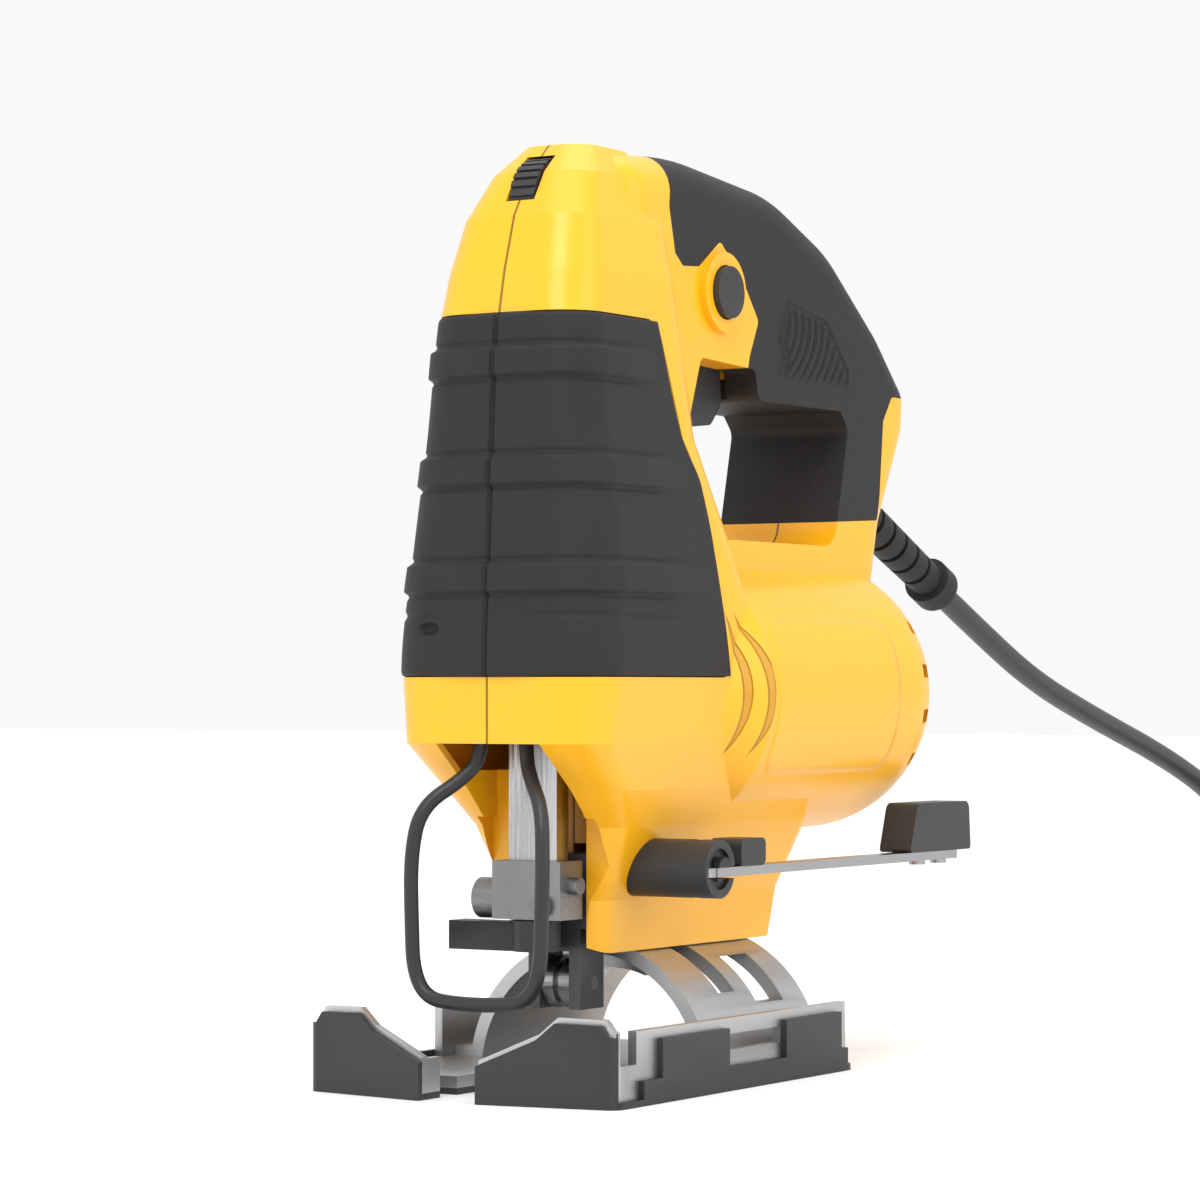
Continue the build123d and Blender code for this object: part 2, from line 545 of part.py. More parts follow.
def shoe_outline(half, low, high, grow=0.0):
    """Sole outline with its swept front edge, from z = low to z = high."""
    points = [(-half, front_corner - grow), (0, front_mid - grow), (half, front_corner - grow),
              (half, shoe_rear + grow), (-half, shoe_rear + grow)]
    face = make_face(FilletPolyline(*points, radius=[3.0, 0.0, 3.0, 5.0, 5.0], close=True))
    return Pos(0, 0, low) * extrude(face, amount=high - low)


blade_slot = block((-blade_gap_half, blade_gap_half), (-wide, blade_gap_end), (-1, 30.0))
window = block((-22.0, 22.0), wire_notch, (-1, 9.0))
plate = shoe_outline(metal_half, plate_low_z, plate_top_z, grow=-cover_wall) - blade_slot - window
# upturned front, rising from the blade slot to the corners
front_wall = shoe_outline(metal_half, plate_low_z, 20.0, grow=-cover_wall)
front_wall -= Pos(0, 2.0, 0) * shoe_outline(metal_half, 0, 30.0, grow=-cover_wall)
front_wall &= block((-wide, wide), (-wide, -22.0), (0, 40.0))
front_wall -= block((-blade_gap_half, blade_gap_half), (-wide, 0), (-1, 30.0))
rise = [(-wide, 40.0), (-wide, 15.8), (-36.4, 15.8), (-34.6, 18.2), (-24.6, 18.4), (-20.4, 14.8), (-7.0, 9.0),
        (7.0, 9.0), (20.4, 14.8), (24.6, 18.4), (34.6, 18.2), (36.4, 15.8), (wide, 15.8), (wide, 40.0)]
above = extrude(Plane.XZ * make_face(Polyline(*rise, close=True)), amount=wide)
plate += front_wall - above
for side in (-1, 1):
    outer, inner = side * metal_half, side * (metal_half - side_wall)
    plate += block(sorted((inner, outer)), (front_corner + cover_wall + 1.0, shoe_rear - 4.0), (plate_low_z, side_height))
    plate += block(sorted((side * blade_gap_half, side * (blade_gap_half + 1.6))),
                   (front_mid + 4.4, wire_notch[0]), (plate_low_z, 8.6))
plate -= block((-wide, wide), wire_notch, (8.6, 40.0))
plate -= block((-wide, -metal_half + side_wall + 1), (-21.0, right_relief[1]), (plate_top_z, 40.0))
plate -= block((metal_half - side_wall - 1, wide), (15.5, 39.5), (8.6, 12.0))
for side in (-1, 1):
    plate += block(sorted((side * (metal_half - 5.5), side * (metal_half - side_wall))),
                   (shoe_rear - 6.0, shoe_rear), (plate_top_z, 12.5))
keep("shoe_plate", *main_solids(plate))

cover = shoe_outline(shoe_half, 0, cover_wall, grow=0.0) - blade_slot - window
cover -= block((-22.0, 22.0), (blade_gap_end - 0.1, 60.0), (-1, 5.0))
# its front turns up over the metal and leaves the rim bare
lip = shoe_outline(shoe_half, 0, 20.0) - Pos(0, cover_wall - 0.05, 0) * shoe_outline(shoe_half + 2, -1, 30.0)
lip &= block((-wide, wide), (-wide, -26.0), (0, 40.0))
cover += lip - block((-blade_gap_half, blade_gap_half), (-wide, 0), (-1, 30.0)) - Pos(0, 0, -1.1) * above
tabs = [(-13.0, 15.0), (40.0, 65.5)]
for side in (-1, 1):
    limits = sorted((side * metal_half, side * shoe_half))
    cover += block(limits, (-20.5, shoe_rear - 5.0), (0, 5.2))
    for low, high in tabs:
        if side < 0 and low < right_relief[1]:
            continue
        cover += block(limits, (low, high), (0, 13.4))
keep("shoe_cover", *main_solids(cover))

saddle = rod_y(0, 0, saddle_radius, saddle_front, saddle_rear)
saddle -= rod_y(0, 0, saddle_radius - saddle_wall, 0, 2 * wide)
saddle &= block((-wide, wide), (0, 2 * wide), (plate_top_z, wide))
saddle += block((-saddle_radius - 4, -saddle_radius + 1.5), (saddle_front, saddle_rear - 4.0), (plate_top_z, 6.0))
saddle += block((saddle_radius - 1.5, saddle_radius + 4), (saddle_front, saddle_rear - 4.0), (plate_top_z, 6.0))
slot_angle = tilt + math.degrees(math.asin((bolt_radius + 0.5) / (saddle_radius - saddle_wall)))
slot_half = bolt_radius + 0.6
slot_cut = rod_y(0, 0, wide, bolt_y - slot_half, bolt_y + slot_half)
for side in (-1, 1):
    wedge = block((0, 2 * wide), (0, 2 * wide), (-2 * wide, 0)) if side > 0 else block((-2 * wide, 0), (0, 2 * wide),
                                                                                      (-2 * wide, 0))
    slot_cut -= Rot(0, -side * (90 - slot_angle), 0) * wedge
    slot_cut -= block((-2 * wide, 2 * wide), (0, 2 * wide), (-2 * wide, 6.0))
saddle -= slot_cut
saddle -= block((12.0, 30.0), (bolt_y + 10, bolt_y + 22), (16.0, 26.0))
saddle -= block((-30.0, -12.0), (bolt_y + 10, bolt_y + 22), (16.0, 26.0))
keep("bevel_saddle", *main_solids(saddle))

# ---- controls ------------------------------------------------------------------------------------
dial = rod_x(dial_y, dial_z, dial_radius, -dial_width / 2, dial_width / 2)
for tooth in range(30):
    nick = block((-5, 5), (-0.4, 0.4), (dial_radius - 0.6, dial_radius + 1))
    dial -= Pos(0, dial_y, dial_z) * Rot(12 * tooth, 0, 0) * nick
dial -= rod_x(dial_y, dial_z, 2.0 + run_fit, -10, 10)
keep("speed_dial", dial)
spindle = rod_x(dial_y, dial_z, 2.0, -8.0, 8.0)
board = block((-8.0, 8.0), (dial_y + 13.0, dial_y + 15.0), (172.0, 196.0))
board += block((-7.0, 7.0), (dial_y + 15.0, dial_y + 20.0), (176.0, 186.0))
keep("speed_control_board", board, spindle)

button_in, button_out = 9.6, grip_half + 3.0
button = rod_x(lock_y, lock_z, lock_radius, button_in + lock_travel + 0.4, button_out)
button += rod_x(lock_y, lock_z, 2.0, button_in + 0.4, button_in + lock_travel + 0.5)
keep("lock_on_button", button)

TRIGGER = [(trigger_y - 2.4, trigger_z + 3.0), (trigger_y + 4.0, trigger_z + 3.4), (65.6, 159.4), (66.4, 150.4),
           (61.5, 145.4), (51.0, 144.4), (46.4, 148.6), (44.6, 157.0), (trigger_y - 2.6, 160.6)]
trigger_half = trigger_width / 2
trigger = side_plate(TRIGGER, [2.0, 2.0, 1.5, 3.0, 3.0, 3.0, 2.0, 2.0, 2.0], -trigger_half, trigger_half)
trigger -= rod_x(trigger_y, trigger_z, 1.5 + run_fit, -20, 20)
keep("trigger", trigger)
keep("trigger_pin", rod_x(trigger_y, trigger_z, 1.5, -12.0, 12.0))
shell -= rod_x(trigger_y, trigger_z, 1.5, -12.0, 12.0)
switch_box = block((-9.0, 9.0), (48.0, 80.0), (174.5, 190.0)) - rod_x(lock_y, lock_z, lock_radius + 1, 0, wide)
keep("trigger_switch", *main_solids(switch_box))
coil_turns = []
for turn in range(4):
    coil_turns.append(Pos(0, 60.0, 168.6 + 1.6 * turn) * Torus(2.4, 0.4))
keep("trigger_spring", *coil_turns)

# ---- lead ----------------------------------------------------------------------------------------
def on_relief(distance):
    """Point on the strain relief's axis."""
    return Vector(0, relief_y, relief_z) + relief_dir * distance


inner_end = -10.0
sleeve_end = relief_length
relief = relief_plane * Pos(0, 0, (inner_end + 12.0) / 2) * Cylinder(relief_radius, 12.0 - inner_end)
relief += relief_plane * Pos(0, 0, 6.0 + (sleeve_end - 6.0) / 2) * Cone(relief_radius, relief_radius - 0.6,
                                                                     sleeve_end - 6.0)
relief += relief_plane * Pos(0, 0, sleeve_end + collar_length / 2) * Cylinder(collar_radius, collar_length)
for rib in range(5):
    cut = relief_plane * Pos(0, 0, 16.0 + 7.0 * rib) * (Cylinder(relief_radius + 1, 1.6) - Cylinder(relief_radius - 1.2, 3))
    relief -= cut
keep("strain_relief", relief)
shell -= relief_plane * Pos(0, 0, 0) * Cylinder(relief_radius, 21.0)
clamp_y = (118.0, 124.0)
keep("cord_clamp", block((-9.0, 9.0), clamp_y, (136.6, 139.6)), block((-9.0, 9.0), clamp_y, (145.6, 148.6)))

cord_start = on_relief(sleeve_end + collar_length)
coil_top = coil_rows * 2 * cord_radius
coil_outer_turn = coil_mid + 2 * cord_radius
plug_y, plug_x, plug_z = 382.0, 71.0, 7.0
CORD = [
    tuple(cord_start), tuple(cord_start + relief_dir * 24.0), (0.0, 247.0, 87.8), (0.0, 290.0, 76.8),
    (0.0, 334.0, 66.6), (0.2, 372.0, 55.0), (0.5, 402.0, 38.0), (0.9, 424.0, 25.5), (1.0, 442.0, 21.0),
]
TAIL = [(79.0, 438.0, 3.0), (79.0, 419.0, 3.05), (74.0, 399.0, 4.6), (plug_x, plug_y, plug_z)]


def lead_tube(label, points):
    """Tube of straight runs joined by tangent arcs, each as large as its two runs allow."""
    places = [Vector(*p) for p in points]
    radii = []
    for before, here, after in zip(places, places[1:], places[2:]):
        run_in, run_out = here - before, after - here
        turn = math.radians(run_in.get_angle(run_out))
        radii.append(0.45 * min(run_in.length, run_out.length) / math.tan(turn / 2))
    path = FilletPolyline(*places, radius=radii)
    tube = sweep(Plane(origin=path @ 0, z_dir=path % 0) * Circle(cord_radius), path=path)
    expected = math.pi * cord_radius ** 2 * path.length
    print(label, "radii", [round(r) for r in radii], "length", round(path.length, 1),
          "volume ratio", round(tube.volume / expected, 4))
    return tube


keep("power_cord", lead_tube("power_cord", CORD))
keep("cord_tail", lead_tube("cord_tail", TAIL))
coil_half = 3 * cord_radius                # three turns side by side
coil = Cylinder(coil_mid + coil_half, coil_top) - Cylinder(coil_mid - coil_half, coil_top + 2)
coil = Pos(coil_x, coil_y, coil_top / 2) * coil
keep("cord_coil", fillet(coil.edges().filter_by(GeomType.CIRCLE), 2.0))
turns = 3 * coil_rows
print("coil turns", turns, "length", round(turns * 2 * math.pi * coil_mid, 1))

plug_plane = Plane(origin=(plug_x, plug_y, plug_z), x_dir=(1, 0, 0), z_dir=(0, -1, 0))
plug_relief, plug_length, plug_half, plug_thick = 16.0, 32.0, 17.0, 13.6
pin_radius, pin_length, pin_spread = 2.0, 19.0, 9.5
plug = plug_plane * Pos(0, 0, plug_relief / 2) * Cone(cord_radius + 0.6, cord_radius + 2.6, plug_relief)
plug_section = plug_plane.offset(plug_relief)
plug += loft([
    plug_section * RectangleRounded(14.0, plug_thick - 1.0, 4.0),
    plug_plane.offset(plug_relief + 12.0) * RectangleRounded(2 * plug_half - 4, plug_thick, 5.0),
    plug_plane.offset(plug_relief + plug_length) * RectangleRounded(2 * plug_half, plug_thick, 5.0),
], ruled=True)
keep("mains_plug", plug)
pins = []
for side in (-1, 1):
    pin = plug_plane * Pos(side * pin_spread, 0, plug_relief + plug_length + pin_length / 2)
    pins.append(pin * Cylinder(pin_radius, pin_length))
keep("plug_pins", *pins)

# ---- housing halves and overmoulds ---------------------------------------------------------------
for name, half in (("left", left_side), ("right", right_side)):
    keep(name + "_housing", *main_solids(shell & half))
    keep(name + "_handle_cover", *main_solids(grip_skin & half, 20.0))
    keep(name + "_front_boot", *main_solids(boot_skin & half, 20.0))
keep("gear_plate", *main_solids(gear_plate))

for name, solid in nodes.items():
    solid.label = name
    export_step(solid, "parts/" + name + ".step")
print(len(nodes), "nodes")
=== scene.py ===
# %% [markdown]
# # A corded jigsaw, one piece at a time
# This lesson dresses a finished engineering frame. Every hard part already has its size and
# its joint, so here we only make what the eye sees: soft moulded housings, rubber grips, metal
# finishes and a lead. The frame is loaded first, so that all later pieces share its space.

# %% Load the frame
import bmesh
import bpy
import math
import numpy as np
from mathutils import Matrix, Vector


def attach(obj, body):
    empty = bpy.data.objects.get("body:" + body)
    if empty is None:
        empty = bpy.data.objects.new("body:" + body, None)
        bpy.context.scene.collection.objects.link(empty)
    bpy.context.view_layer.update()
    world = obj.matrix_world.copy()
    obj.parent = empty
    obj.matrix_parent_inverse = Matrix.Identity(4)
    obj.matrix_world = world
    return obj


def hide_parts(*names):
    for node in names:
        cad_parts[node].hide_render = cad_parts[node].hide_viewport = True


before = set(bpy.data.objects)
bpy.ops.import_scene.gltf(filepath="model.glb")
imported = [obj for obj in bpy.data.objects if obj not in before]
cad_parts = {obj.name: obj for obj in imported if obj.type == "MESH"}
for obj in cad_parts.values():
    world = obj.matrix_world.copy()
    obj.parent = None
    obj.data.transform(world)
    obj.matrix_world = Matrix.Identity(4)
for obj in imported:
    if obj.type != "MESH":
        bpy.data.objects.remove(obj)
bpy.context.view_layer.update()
MM = 0.001

# %% [markdown]
# ## Camera
# A small tool is best shown from far away through a long lens, which keeps
# upright edges parallel. We copy that: a level camera, a 117 mm lens, and a little lens shift to lift the
# view instead of tilting the camera.

# %% Camera
camera_data = bpy.data.cameras.new("camera")
camera_data.lens = 117.0
camera_data.sensor_width = 36.0
camera_data.shift_y = 0.075
camera_data.clip_start = 0.05
camera_data.clip_end = 30.0
camera = bpy.data.objects.new("camera", camera_data)
bpy.context.collection.objects.link(camera)
VIEW_TURN = math.radians(31.5)
camera.location = (0.4480, -0.7062, 0.0853)
camera.rotation_euler = (math.radians(90.0), 0.0, VIEW_TURN)
bpy.context.scene.camera = camera
print("camera:", camera_data.lens, "mm lens, level")

# %% [markdown]
# ## Helpers for shapes
# Every shell in this tool is a function of two parameters. We evaluate it on a whole grid at
# once, and one helper turns the grid of points into faces. A second helper draws a smooth line through a few
# stations, so that a profile needs only the points that matter.

# %% Smooth curve through stations
def smooth(x, stations, values):
    """Cubic Hermite curve through the stations.

    Each slope is the harmonic mean of the two neighbouring secants, or zero where they differ in
    sign, so the curve never swings past its stations."""
    s, v = np.asarray(stations, float), np.asarray(values, float)
    step, secant = np.diff(s), np.diff(v) / np.diff(s)
    slope = np.zeros(len(s))
    same = secant[:-1] * secant[1:] > 0
    slope[1:-1][same] = 2 * secant[:-1][same] * secant[1:][same] / (secant[:-1] + secant[1:])[same]
    slope[0], slope[-1] = secant[0], secant[-1]
    x = np.clip(np.asarray(x, float), s[0], s[-1])
    k = np.clip(np.searchsorted(s, x, side="right") - 1, 0, len(step) - 1)
    t = (x - s[k]) / step[k]
    return ((2 * t**3 - 3 * t**2 + 1) * v[k] + (t**3 - 2 * t**2 + t) * step[k] * slope[k]
            + (3 * t**2 - 2 * t**3) * v[k + 1] + (t**3 - t**2) * step[k] * slope[k + 1])


def ramp(x, low, high):
    """Smooth step: 0 below low, 1 above high, 3t^2 - 2t^3 between."""
    t = np.clip((x - low) / (high - low), 0.0, 1.0)
    return t * t * (3 - 2 * t)


def bump(x, middle, half, soft):
    """1 within half of the middle, falling to 0 over the soft width outside it."""
    return 1 - ramp(np.abs(x - middle), half, half + soft)


# %% Grid of points to mesh
def grid_piece(name, points, material, body="root", flip=False):
    """Mesh from points[i, j] in millimetres, riding on a body.

    Each quad runs (i, j), (i, j+1), (i+1, j+1), (i+1, j), or the other way round where flip is set."""
    rows, cols = points.shape[:2]
    number = np.arange(rows * cols).reshape(rows, cols)
    corners = [number[:-1, :-1], number[:-1, 1:], number[1:, 1:], number[1:, :-1]]
    faces = np.stack(corners[::-1] if flip else corners, axis=-1).reshape(-1, 4)
    mesh = bpy.data.meshes.new(name)
    mesh.from_pydata((points.reshape(-1, 3) * MM).tolist(), [], faces.tolist())
    mesh.polygons.foreach_set("use_smooth", np.ones(len(mesh.polygons), bool))
    mesh.materials.append(material)
    piece = bpy.data.objects.new(name, mesh)
    bpy.context.collection.objects.link(piece)
    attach(piece, body)
    return piece


# %% Round wire along a spline
def spline_tube(name, points, radius, material, around, along):
    """Round tube whose centreline is the quadratic NURBS spline of the control points, in millimetres."""
    curve = bpy.data.curves.new(name, "CURVE")
    curve.dimensions = "3D"
    curve.bevel_depth = radius * MM
    curve.bevel_resolution = around
    curve.resolution_u = along
    curve.use_fill_caps = True
    spline = curve.splines.new("NURBS")
    spline.points.add(len(points) - 1)
    for place, point in zip(spline.points, points):
        place.co = (*[c * MM for c in point], 1.0)
    spline.order_u = 3
    spline.use_endpoint_u = True
    curve.materials.append(material)
    tube = bpy.data.objects.new(name, curve)
    bpy.context.collection.objects.link(tube)
    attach(tube, "root")
    return tube


# %% [markdown]
# ## Helpers for finishes
# A finish is a small recipe: a base colour that drifts a little, a roughness that varies, and
# fine relief. We keep one builder that mixes these from noise on object coordinates, because every
# moulded or metal finish here differs only in its scales and amounts.

# %% Finish builder
def finish(name, colour, rough, metal=0.0, tint=0.04, tint_scale=60.0, grain=900.0, relief=0.06,
           relief_depth=0.00012, rough_spread=0.08, coat=0.0, streak=None, wear=None, specular=0.5,
           moulding=None):
    """Principled finish with noise-driven colour, roughness and relief.

    streak stretches the fine noise along one axis, and wear = (colour, amount) brightens convex edges.
    moulding(tree, coordinates) gives a height in millimetres and a 0..1 mask that darkens the colour, for
    dark joint lines and for painted shade in grooves."""
    material = bpy.data.materials.new(name)
    material.use_nodes = True
    tree = material.node_tree
    shader = tree.nodes["Principled BSDF"]
    shader.inputs["Metallic"].default_value = metal
    shader.inputs["Coat Weight"].default_value = coat
    shader.inputs["Specular IOR Level"].default_value = specular
    add, link = tree.nodes.new, tree.links.new
    place = add("ShaderNodeTexCoord")
    broad = add("ShaderNodeTexNoise")
    broad.inputs["Scale"].default_value = tint_scale
    broad.inputs["Detail"].default_value = 4.0
    link(place.outputs["Object"], broad.inputs["Vector"])
    shade = add("ShaderNodeMix")
    shade.data_type = "RGBA"
    shade.inputs[6].default_value = (*[c * (1 - tint) for c in colour], 1)
    shade.inputs[7].default_value = (*[min(1, c * (1 + tint) + 0.004) for c in colour], 1)
    link(broad.outputs["Fac"], shade.inputs[0])
    tone = shade.outputs[2]
    fine = add("ShaderNodeTexNoise")
    fine.inputs["Scale"].default_value = grain
    fine.inputs["Detail"].default_value = 3.0
    source = place.outputs["Object"]
    if streak:
        stretch = add("ShaderNodeMapping")
        stretch.inputs["Scale"].default_value = streak
        link(source, stretch.inputs["Vector"])
        source = stretch.outputs["Vector"]
    link(source, fine.inputs["Vector"])
    if wear:
        edge = add("ShaderNodeNewGeometry")
        sharp = add("ShaderNodeMapRange")
        sharp.inputs["From Min"].default_value = 0.52
        sharp.inputs["From Max"].default_value = 0.62
        sharp.inputs["To Max"].default_value = wear[1]
        link(edge.outputs["Pointiness"], sharp.inputs["Value"])
        rub = add("ShaderNodeMix")
        rub.data_type = "RGBA"
        rub.inputs[7].default_value = (*wear[0], 1)
        link(sharp.outputs["Result"], rub.inputs[0])
        link(tone, rub.inputs[6])
        tone = rub.outputs[2]
    height = groove = None
    if moulding:
        height, groove = moulding(tree, place.outputs["Object"])
        # Painted shade and joint lines: the mask darkens the colour to 12 % of itself in recessed grooves,
        # where shade would fall, and draws the dark joint line.
        joint_and_groove_shade = add("ShaderNodeMix")
        joint_and_groove_shade.data_type = "RGBA"
        joint_and_groove_shade.inputs[7].default_value = (*[c * 0.12 for c in colour], 1)
        link(groove, joint_and_groove_shade.inputs[0])
        link(tone, joint_and_groove_shade.inputs[6])
        tone = joint_and_groove_shade.outputs[2]
    link(tone, shader.inputs["Base Color"])
    spread = add("ShaderNodeMapRange")
    spread.inputs["To Min"].default_value = max(0.02, rough - rough_spread)
    spread.inputs["To Max"].default_value = min(1.0, rough + rough_spread)
    link(broad.outputs["Fac"], spread.inputs["Value"])
    link(spread.outputs["Result"], shader.inputs["Roughness"])
    rise = add("ShaderNodeBump")
    rise.inputs["Strength"].default_value = relief
    rise.inputs["Distance"].default_value = relief_depth * 10
    link(fine.outputs["Fac"], rise.inputs["Height"])
    if height:
        form = add("ShaderNodeBump")
        form.inputs["Distance"].default_value = 0.001
        link(height, form.inputs["Height"])
        link(form.outputs["Normal"], rise.inputs["Normal"])
    link(rise.outputs["Normal"], shader.inputs["Normal"])
    return material


def sums(tree):
    """Arithmetic on node sockets: calc(operation, a, b) and step(x, low, high), a smooth 0 to 1."""
    def calc(operation, a, b=None, c=None):
        node = tree.nodes.new("ShaderNodeMath")
        node.operation = operation
        for place, value in enumerate((a, b, c)):
            if isinstance(value, (int, float)):
                node.inputs[place].default_value = value
            elif value is not None:
                tree.links.new(value, node.inputs[place])
        return node.outputs[0]

    def step(x, low, high):
        node = tree.nodes.new("ShaderNodeMapRange")
        node.interpolation_type = "SMOOTHSTEP"
        node.inputs["From Min"].default_value, node.inputs["From Max"].default_value = low, high
        tree.links.new(x, node.inputs["Value"])
        return node.outputs["Result"]
    return calc, step


# %% [markdown]
# ## What the mould adds to the housing
# The two halves of the shell meet on the centre plane and leave a hairline joint. On the motor side
# the mould also leaves two crescent finger grooves and a slightly raised panel. These reliefs are shallower
# than a wall, so we write them as a height in millimetres that the finish turns into shading. The joint line
# is also darkened in colour, and the finger grooves get painted shade in their colour.

# %% Housing relief
CRESCENTS = [((35.0, 102.3), (39.9, 86.0), (36.8, 70.9)), ((38.8, 102.3), (45.8, 86.0), (42.6, 70.9))]


def circle_through(a, b, c):
    """Centre and radius of the circle through three points: the two perpendicular bisectors meet there."""
    (ax, ay), (bx, by), (cx, cy) = a, b, c
    d = 2 * (ax * (by - cy) + bx * (cy - ay) + cx * (ay - by))
    x = ((ax**2 + ay**2) * (by - cy) + (bx**2 + by**2) * (cy - ay) + (cx**2 + cy**2) * (ay - by)) / d
    y = ((ax**2 + ay**2) * (cx - bx) + (bx**2 + by**2) * (ax - cx) + (cx**2 + cy**2) * (bx - ax)) / d
    return x, y, math.hypot(ax - x, ay - y)


def housing_relief_and_shade(tree, coordinates):
    """Joint line, crescents and raised panel as a height, from coordinates scaled to millimetres, with a mask
    that darkens the joint line and paints shade into the crescent grooves.
    """
    calc, step = sums(tree)
    split = tree.nodes.new("ShaderNodeSeparateXYZ")
    tree.links.new(coordinates, split.inputs[0])
    x, y, z = (calc("MULTIPLY", out, 1000.0) for out in split.outputs)
    across = calc("ABSOLUTE", x)
    joint = calc("SUBTRACT", 1.0, step(across, 0.12, 0.34))
    side = step(across, 12.0, 15.0)
    groove = 0.0
    for points in CRESCENTS:
        cy, cz, radius = circle_through(*points)
        distance = calc("POWER", calc("ADD", calc("POWER", calc("SUBTRACT", y, cy), 2.0),
                                      calc("POWER", calc("SUBTRACT", z, cz), 2.0)), 0.5)
        off = calc("ABSOLUTE", calc("SUBTRACT", distance, radius))
        along = calc("DIVIDE", calc("ABSOLUTE", calc("SUBTRACT", z, 86.5)), 16.5)
        width = calc("MULTIPLY", calc("SUBTRACT", 1.0, calc("POWER", along, 2.0)), 1.35)
        mask = step(calc("SUBTRACT", width, off), 0.0, 0.5)
        near = calc("MULTIPLY", mask, step(y, 20.0, 22.0))
        groove = calc("MAXIMUM", near, groove)
    groove = calc("MULTIPLY", groove, side)
    high = calc("MAXIMUM", calc("SUBTRACT", calc("ABSOLUTE", calc("SUBTRACT", z, 84.0)), 12.0), 0.0)
    long = calc("MAXIMUM", calc("SUBTRACT", calc("ABSOLUTE", calc("SUBTRACT", y, 78.0)), 24.0), 0.0)
    reach = calc("POWER", calc("ADD", calc("POWER", high, 2.0), calc("POWER", long, 2.0)), 0.5)
    panel = calc("SUBTRACT", 1.0, step(reach, 4.0, 6.0))
    height = calc("ADD", calc("MULTIPLY", groove, -0.9), calc("MULTIPLY", panel, 0.55))
    height = calc("ADD", height, calc("MULTIPLY", joint, -0.5))
    # The second output darkens the colour: 0.8 on the joint line, and 0.42 in the crescent grooves as painted
    # shade.
    return height, calc("MAXIMUM", calc("MULTIPLY", joint, 0.8), calc("MULTIPLY", groove, 0.42))



# %% [markdown]
# ## The finishes of this tool
# The housing is injection-moulded ABS with a satin sheen. The grips are a thermoplastic rubber, much
# rougher. The shoe is blasted sheet metal, the ram is ground steel, and the wire and lever are blackened.
# Each gets its own grain size, because a real spark-eroded mould leaves about half a millimetre of texture
# and a ground bar leaves long fine lines.

# %% Finishes
YELLOW = finish("yellow_abs", (0.90, 0.425, 0.002), 0.34, tint=0.02, grain=2200, relief=0.03,
                rough_spread=0.05, coat=0.06, moulding=housing_relief_and_shade)
RUBBER = finish("grip_rubber", (0.017, 0.017, 0.0185), 0.58, tint=0.14, grain=2600, relief=0.2,
                rough_spread=0.06, specular=0.24)
BLACK = finish("black_nylon", (0.012, 0.012, 0.013), 0.42, tint=0.12, grain=2400, relief=0.10,
               rough_spread=0.06, wear=((0.07, 0.07, 0.07), 0.4), specular=0.26)
SHOE = finish("blasted_shoe", (0.27, 0.275, 0.28), 0.36, metal=0.9, tint=0.06, grain=3000, relief=0.12,
              rough_spread=0.07, wear=((0.75, 0.75, 0.76), 0.5))
GROUND = finish("ground_steel", (0.50, 0.50, 0.51), 0.26, metal=1.0, tint=0.05, grain=1400, relief=0.10,
                streak=(1.0, 1.0, 0.04), rough_spread=0.06)
TURNED = finish("turned_steel", (0.36, 0.36, 0.37), 0.30, metal=1.0, tint=0.06, grain=1400, relief=0.12,
                streak=(0.05, 1.0, 1.0), rough_spread=0.08)
BLACKENED = finish("blackened_steel", (0.022, 0.022, 0.024), 0.38, metal=0.35, tint=0.15, grain=1800,
                   relief=0.10, rough_spread=0.08, wear=((0.16, 0.16, 0.16), 0.5))
SHEATH = finish("lead_rubber", (0.020, 0.020, 0.021), 0.48, tint=0.10, grain=2600, relief=0.12,
                rough_spread=0.06)
PHOSPHATED = finish("phosphated_steel", (0.085, 0.085, 0.09), 0.36, metal=0.9, tint=0.10, grain=1600,
                    relief=0.16, rough_spread=0.08, wear=((0.35, 0.35, 0.36), 0.6))
COPPER = finish("enamelled_copper", (0.55, 0.22, 0.08), 0.32, metal=1.0, grain=1200, relief=0.2,
                streak=(1.0, 0.05, 1.0))
IRON = finish("laminated_iron", (0.20, 0.20, 0.21), 0.42, metal=1.0, grain=1600, relief=0.25,
              streak=(0.05, 1.0, 0.05))
BRASS = finish("stamped_brass", (0.62, 0.43, 0.16), 0.32, metal=1.0, grain=1500, relief=0.1)
BOARD = finish("lacquered_board", (0.02, 0.12, 0.05), 0.35, grain=1500, relief=0.1)
print("finishes:", len(bpy.data.materials))

# %% [markdown]
# ## Dress the engineering parts that keep their own shape
# A part whose shape is already right only needs a finish. One table says which finish each takes.

# %% Finish the carried parts
CARRIED = {
    SHOE: ["shoe_plate", "bevel_saddle", "gear_plate"],
    GROUND: ["plunger_bar", "scotch_yoke", "gear_pin", "crank_pin", "drive_gear", "armature_shaft",
             "bearing_inner_races", "bearing_outer_races", "trigger_pin", "trigger_spring", "plug_pins"],
    TURNED: ["guide_roller", "roller_axle", "lever_rivets", "lever_pivot_pin", "bevel_clamp_bolt",
             "bevel_clamp_shoe", "bevel_lever_strip"],
    PHOSPHATED: ["clamp_sleeve", "clamp_screw", "blade_clamp_body", "housing_screws"],
    BLACKENED: ["guard_wire", "roller_fork", "blade_collet"],
    BLACK: ["shoe_cover", "speed_dial", "clamp_release_lever", "bevel_hub", "bevel_lever_head",
            "bevel_lever_grip", "cooling_fan", "trigger_switch", "cord_clamp", "carbon_brushes", "mains_plug",
            "trigger", "lock_on_button"],
    COPPER: ["armature_windings", "commutator", "field_coils"],
    IRON: ["armature_core", "field_core", "upper_plunger_bush", "lower_plunger_bush"],
    BRASS: ["brush_holders"],
    BOARD: ["speed_control_board"],
    YELLOW: ["left_housing", "right_housing"],
    RUBBER: ["left_handle_cover", "right_handle_cover", "strain_relief"],
}
for material, names in CARRIED.items():
    for name in names:
        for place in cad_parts[name].material_slots:
            place.material = material
print("finished", sum(len(names) for names in CARRIED.values()), "carried parts")
